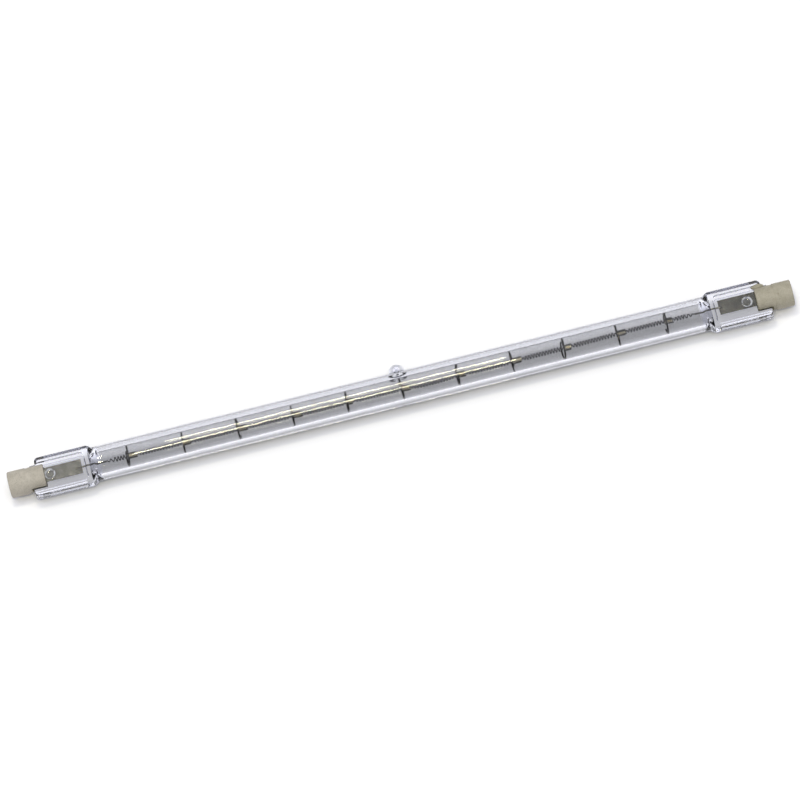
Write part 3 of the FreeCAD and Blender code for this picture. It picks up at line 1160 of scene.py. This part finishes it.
def broken_edge(depth, radius, run, cut, drop):
    """Returns three (depth, radius) points of a slightly worn edge, given its corner."""
    return [(depth - run, radius), (depth - cut, radius - cut), (depth, radius - drop)]


def make_cap_body():
    """Returns the right-hand cap before its slot is cut, with rounded edges."""
    profile = fillet(recess_lip, recess_radius + recess_lip, recess_lip, 270, 360)
    profile += fillet(cap_edge, cap_nose_radius - cap_edge, cap_edge, 0, 90)
    profile += broken_edge(cap_nose_length, cap_nose_radius, *nose_back_corner)
    profile += [(cap_nose_length, cap_fork_radius)]
    profile += broken_edge(cap_length, cap_fork_radius, *fork_corner)
    profile += [(depth, lead_radius + lead_room) for depth in (cap_length, contact_back_depth)]
    profile += [(depth, contact_radius + contact_room) for depth in (contact_back_depth, recess_depth)]
    profile += [(recess_depth, recess_radius)]
    return lathe(profile)


def box_part(outer_depth, inner_depth, half_width, half_height):
    """Returns a box round the lamp's axis, between two depths of the right-hand half."""
    points = []
    for depth in (outer_depth, inner_depth):
        for y, z in ((-1, -1), (1, -1), (1, 1), (-1, 1)):
            points.append(Vector((at_depth(depth), y * half_width, z * half_height)))
    faces = [(0, 1, 2, 3), (7, 6, 5, 4), (0, 4, 5, 1), (1, 5, 6, 2), (2, 6, 7, 3), (3, 7, 4, 0)]
    return points, faces


def cut_away(body_part, tool_parts):
    """Returns the (points, faces) of a closed part after other closed parts are cut from it."""
    body = mesh_object("cut_body", *body_part)
    tools = []
    for index, part in enumerate(tool_parts):
        tool = mesh_object(f"cut_tool_{index}", *part)
        tools.append(tool)
        modifier = body.modifiers.new(f"cut_{index}", "BOOLEAN")
        modifier.operation = "DIFFERENCE"
        modifier.solver = "EXACT"
        modifier.object = tool
    graph = bpy.context.evaluated_depsgraph_get()
    result = body.evaluated_get(graph).to_mesh()
    points = [Vector(vertex.co) / MM for vertex in result.vertices]
    faces = [tuple(polygon.vertices) for polygon in result.polygons]
    for made in [body] + tools:
        bpy.data.objects.remove(made, do_unlink=True)
    return points, faces


def ball_part(x, y, z, half_x, half_y, half_z):
    """Returns a closed, egg-shaped part."""
    rows = 12
    columns = 20
    points = [Vector((x, y, z - half_z))]
    for row in range(1, rows):
        angle = math.pi * row / rows
        level = z - half_z * math.cos(angle)
        for turn in circle_angles(columns):
            along = x + half_x * math.sin(angle) * math.cos(turn)
            points.append(Vector((along, y + half_y * math.sin(angle) * math.sin(turn), level)))
    points.append(Vector((x, y, z + half_z)))
    return points, pole_faces(rows - 1, columns)


slot_part = box_part(cap_slot_depth, cap_length + cut_margin, cap_nose_radius + cut_margin, slot_half_height)
pocket_part = box_part(pocket_depth, cap_slot_depth + pocket_overlap, pocket_half_width, slot_half_height)
nick_part = ball_part(at_depth(nick_depth), nick_centre_y, nick_centre_z, *nick_halves)
left_cap = mirrored(cut_away(make_cap_body(), [slot_part, pocket_part]))
right_cap = cut_away(make_cap_body(), [slot_part, pocket_part, nick_part])
make_pair("ceramic_cap", left_cap, right_cap, ceramic, "cap", cap_sharp_angle)

contact_profile = [(contact_back_depth, contact_axis_radius), (contact_back_depth, contact_radius)]
contact_profile += fillet(recess_depth + contact_corner, contact_radius - contact_corner,
                          contact_corner, 90, 0)
contact_profile += [(recess_depth + sink, radius) for sink, radius in contact_dish]
contact = lathe(contact_profile[::-1], 64)
make_pair("contact_button", mirrored(contact), contact, contact_metal, "contact",
          contact_sharp_angle)


def make_cement_fill():
    """Returns the cement in the right-hand cap's slot: a layer above, a layer below and a plug."""
    rows = spread(cap_slot_depth, cap_length - fill_end_gap, fill_step_along)
    columns = spread(-fill_half_width, fill_half_width, fill_step_across)
    parts = []
    for sign in (1, -1):
        points = []
        for level in (slot_half_height, fill_inner_level):
            for depth in rows:
                for y in columns:
                    ragged = fill_ragged * unevenness(depth, y, fill_ragged_scales, sign)
                    inner = depth + (ragged if depth > cap_length - fill_ragged_run else 0)
                    points.append(Vector((at_depth(inner), y, sign * level)))
        parts.append((points, sheet_faces(len(rows), len(columns), sign < 0)))
    plug_end = cap_slot_depth + plug_reach
    parts.append(box_part(pocket_depth + plug_gap, plug_end, pocket_half_width - plug_gap, plug_half_height))
    return joined(*parts)


def make_bead():
    """Returns the bead of cement between the right-hand cap and its back rim, uneven as it set."""
    centre = (bead_centre_y, bead_centre_z)
    points = [Vector((at_depth(bead_outer_depth + bead_length), *centre))]
    for row in range(1, bead_rows):
        share = row / bead_rows
        swell = math.sin(math.pi * share) ** bead_bluntness
        depth = bead_outer_depth + bead_length * (1 - share)
        for turn in circle_angles(bead_columns):
            place = around(depth * bead_scale_along, 0, 0, bead_scale_round, turn)
            lumps = bead_broad_lumps * noise.noise(place)
            lumps += bead_fine_lumps * noise.noise(place * bead_fineness)
            points.append(around(at_depth(depth), *centre, bead_radius * swell * (1 + lumps), turn))
    points.append(Vector((at_depth(bead_outer_depth), *centre)))
    return points, pole_faces(bead_rows - 1, bead_columns)


fill = make_cement_fill()
make_pair("cement_fill", mirrored(fill), joined(fill, make_bead()), cement, "cement",
          cement_sharp_angle)


# Table, lights and camera

table_half_size = 3000.0
table_colour = (0.95, 0.95, 0.95)
table_glow_seen = 0.05
table_glow_in_glass = 0.4

# What the glass and the metals see of the room, from level with the lamp to straight above it
room_stops = (
    (0.0, (0.1, 0.1, 0.105)),
    (0.3, (0.15, 0.15, 0.156)),
    (0.75, (0.35, 0.35, 0.364)),
    (0.87, WHITE),
)

# The dome's own light, which is strongest straight above
dome_colour = (0.955, 0.985, 1.14)
dome_power = 8.0
dome_low = 0.2
dome_high = 3.15

# Two strips of warm light, whose reflections run along the tube, each with its elevation over the
# front of the table in degrees, its place along the lamp and its length
strips = (("rear_strip", 101.4, -0.039, 0.204), ("front_strip", 71.4, -0.046, 0.228))
strip_distance = 1.5
strip_width = 0.15
strip_power = 3.8
strip_colour = (1.0, 0.935, 0.63)

# The camera's angles in degrees, its distance, and the picture's scale and place, read from the photo
camera_elevation = 65.0
camera_roll = 13.85
camera_distance = 1.75
image_pixels = 800
pixels_per_mm = 3.172
shift_right_pixels = -0.8
shift_up_pixels = -11.1
sensor_width = 36.0
clip_near = 0.05
clip_far = 20.0


def make_table():
    """Adds the white table, which keeps the lamp's shadow."""
    corners = []
    for x, y in ((-1, -1), (1, -1), (1, 1), (-1, 1)):
        corners.append((x * table_half_size, y * table_half_size, -tube_radius))
    table = mesh_object("table", corners, [(0, 1, 2, 3)])
    tree = new_material("table_white")
    rays = tree.add("LightPath").outputs
    seen = tree.maths("MULTIPLY", rays["Is Camera Ray"], table_glow_seen)
    in_glass = tree.maths("MAXIMUM", rays["Is Glossy Ray"], rays["Is Transmission Ray"])
    strength = tree.maths("MULTIPLY_ADD", in_glass, table_glow_in_glass, seen)
    surface = tree.add("BsdfDiffuse", {"Color": table_colour})
    glow = tree.add("Emission", {"Color": WHITE, "Strength": strength})
    both = tree.add("AddShader", {0: surface.outputs[0], 1: glow.outputs[0]})
    table.data.materials.append(tree.finish(both))


def make_world():
    """Lights the lamp softly from above, and shows white behind it."""
    world = bpy.data.worlds.new("studio")
    bpy.context.scene.world = world
    tree = NodeTree(world, "OutputWorld")
    height = tree.split(tree.add("TexCoord").outputs["Generated"])["Z"]
    strength = tree.span(tree.maths("POWER", height, dome_power), 0.0, 1.0, dome_low, dome_high)
    soft = tree.add("Background", {"Color": dome_colour, "Strength": strength})
    room = tree.add("Background", {"Color": tree.ramp(height, *room_stops), "Strength": 1.0})
    white = tree.add("Background", {"Color": WHITE, "Strength": 1.0})
    rays = tree.add("LightPath").outputs
    in_glass = tree.maths("MAXIMUM", rays["Is Glossy Ray"], rays["Is Transmission Ray"])
    tree.finish(tree.blend(rays["Is Camera Ray"], tree.blend(in_glass, soft, room), white))


def add_strip(name, elevation, side, length):
    """Adds a long soft light that faces the lamp, at an elevation over the front of the table."""
    light = bpy.data.lights.new(name, "AREA")
    light.shape = "RECTANGLE"
    light.size = length
    light.size_y = strip_width
    light.energy = strip_power
    light.color = strip_colour
    strip = add_object(name, light)
    angle = math.radians(elevation)
    place = Vector((side, -strip_distance * math.cos(angle), strip_distance * math.sin(angle)))
    strip.location = place
    strip.rotation_euler = (Vector((side, 0, 0)) - place).to_track_quat("-Z", "Y").to_euler()
    strip.visible_camera = False


def add_camera():
    """Adds the camera, which looks down on the lamp from the front and is turned about its view."""
    data = bpy.data.cameras.new("camera")
    data.sensor_width = sensor_width
    data.lens = sensor_width * camera_distance / (image_pixels / pixels_per_mm * MM)
    data.clip_start = clip_near
    data.clip_end = clip_far
    data.shift_x = shift_right_pixels / image_pixels
    data.shift_y = shift_up_pixels / image_pixels
    camera = add_object("camera", data)
    angle = math.radians(camera_elevation)
    away = Vector((0, -math.cos(angle), math.sin(angle)))
    level_up = Vector((0, math.sin(angle), math.cos(angle)))
    turn = math.radians(camera_roll)
    right = Vector((1, 0, 0)) * math.cos(turn) - level_up * math.sin(turn)
    up = away.cross(right)
    camera.matrix_world = Matrix((
        (right.x, up.x, away.x, away.x * camera_distance),
        (right.y, up.y, away.y, away.y * camera_distance),
        (right.z, up.z, away.z, away.z * camera_distance),
        (0, 0, 0, 1),
    ))
    bpy.context.scene.camera = camera


make_table()
make_world()
for strip in strips:
    add_strip(*strip)
add_camera()
bpy.context.scene.view_settings.view_transform = "Standard"
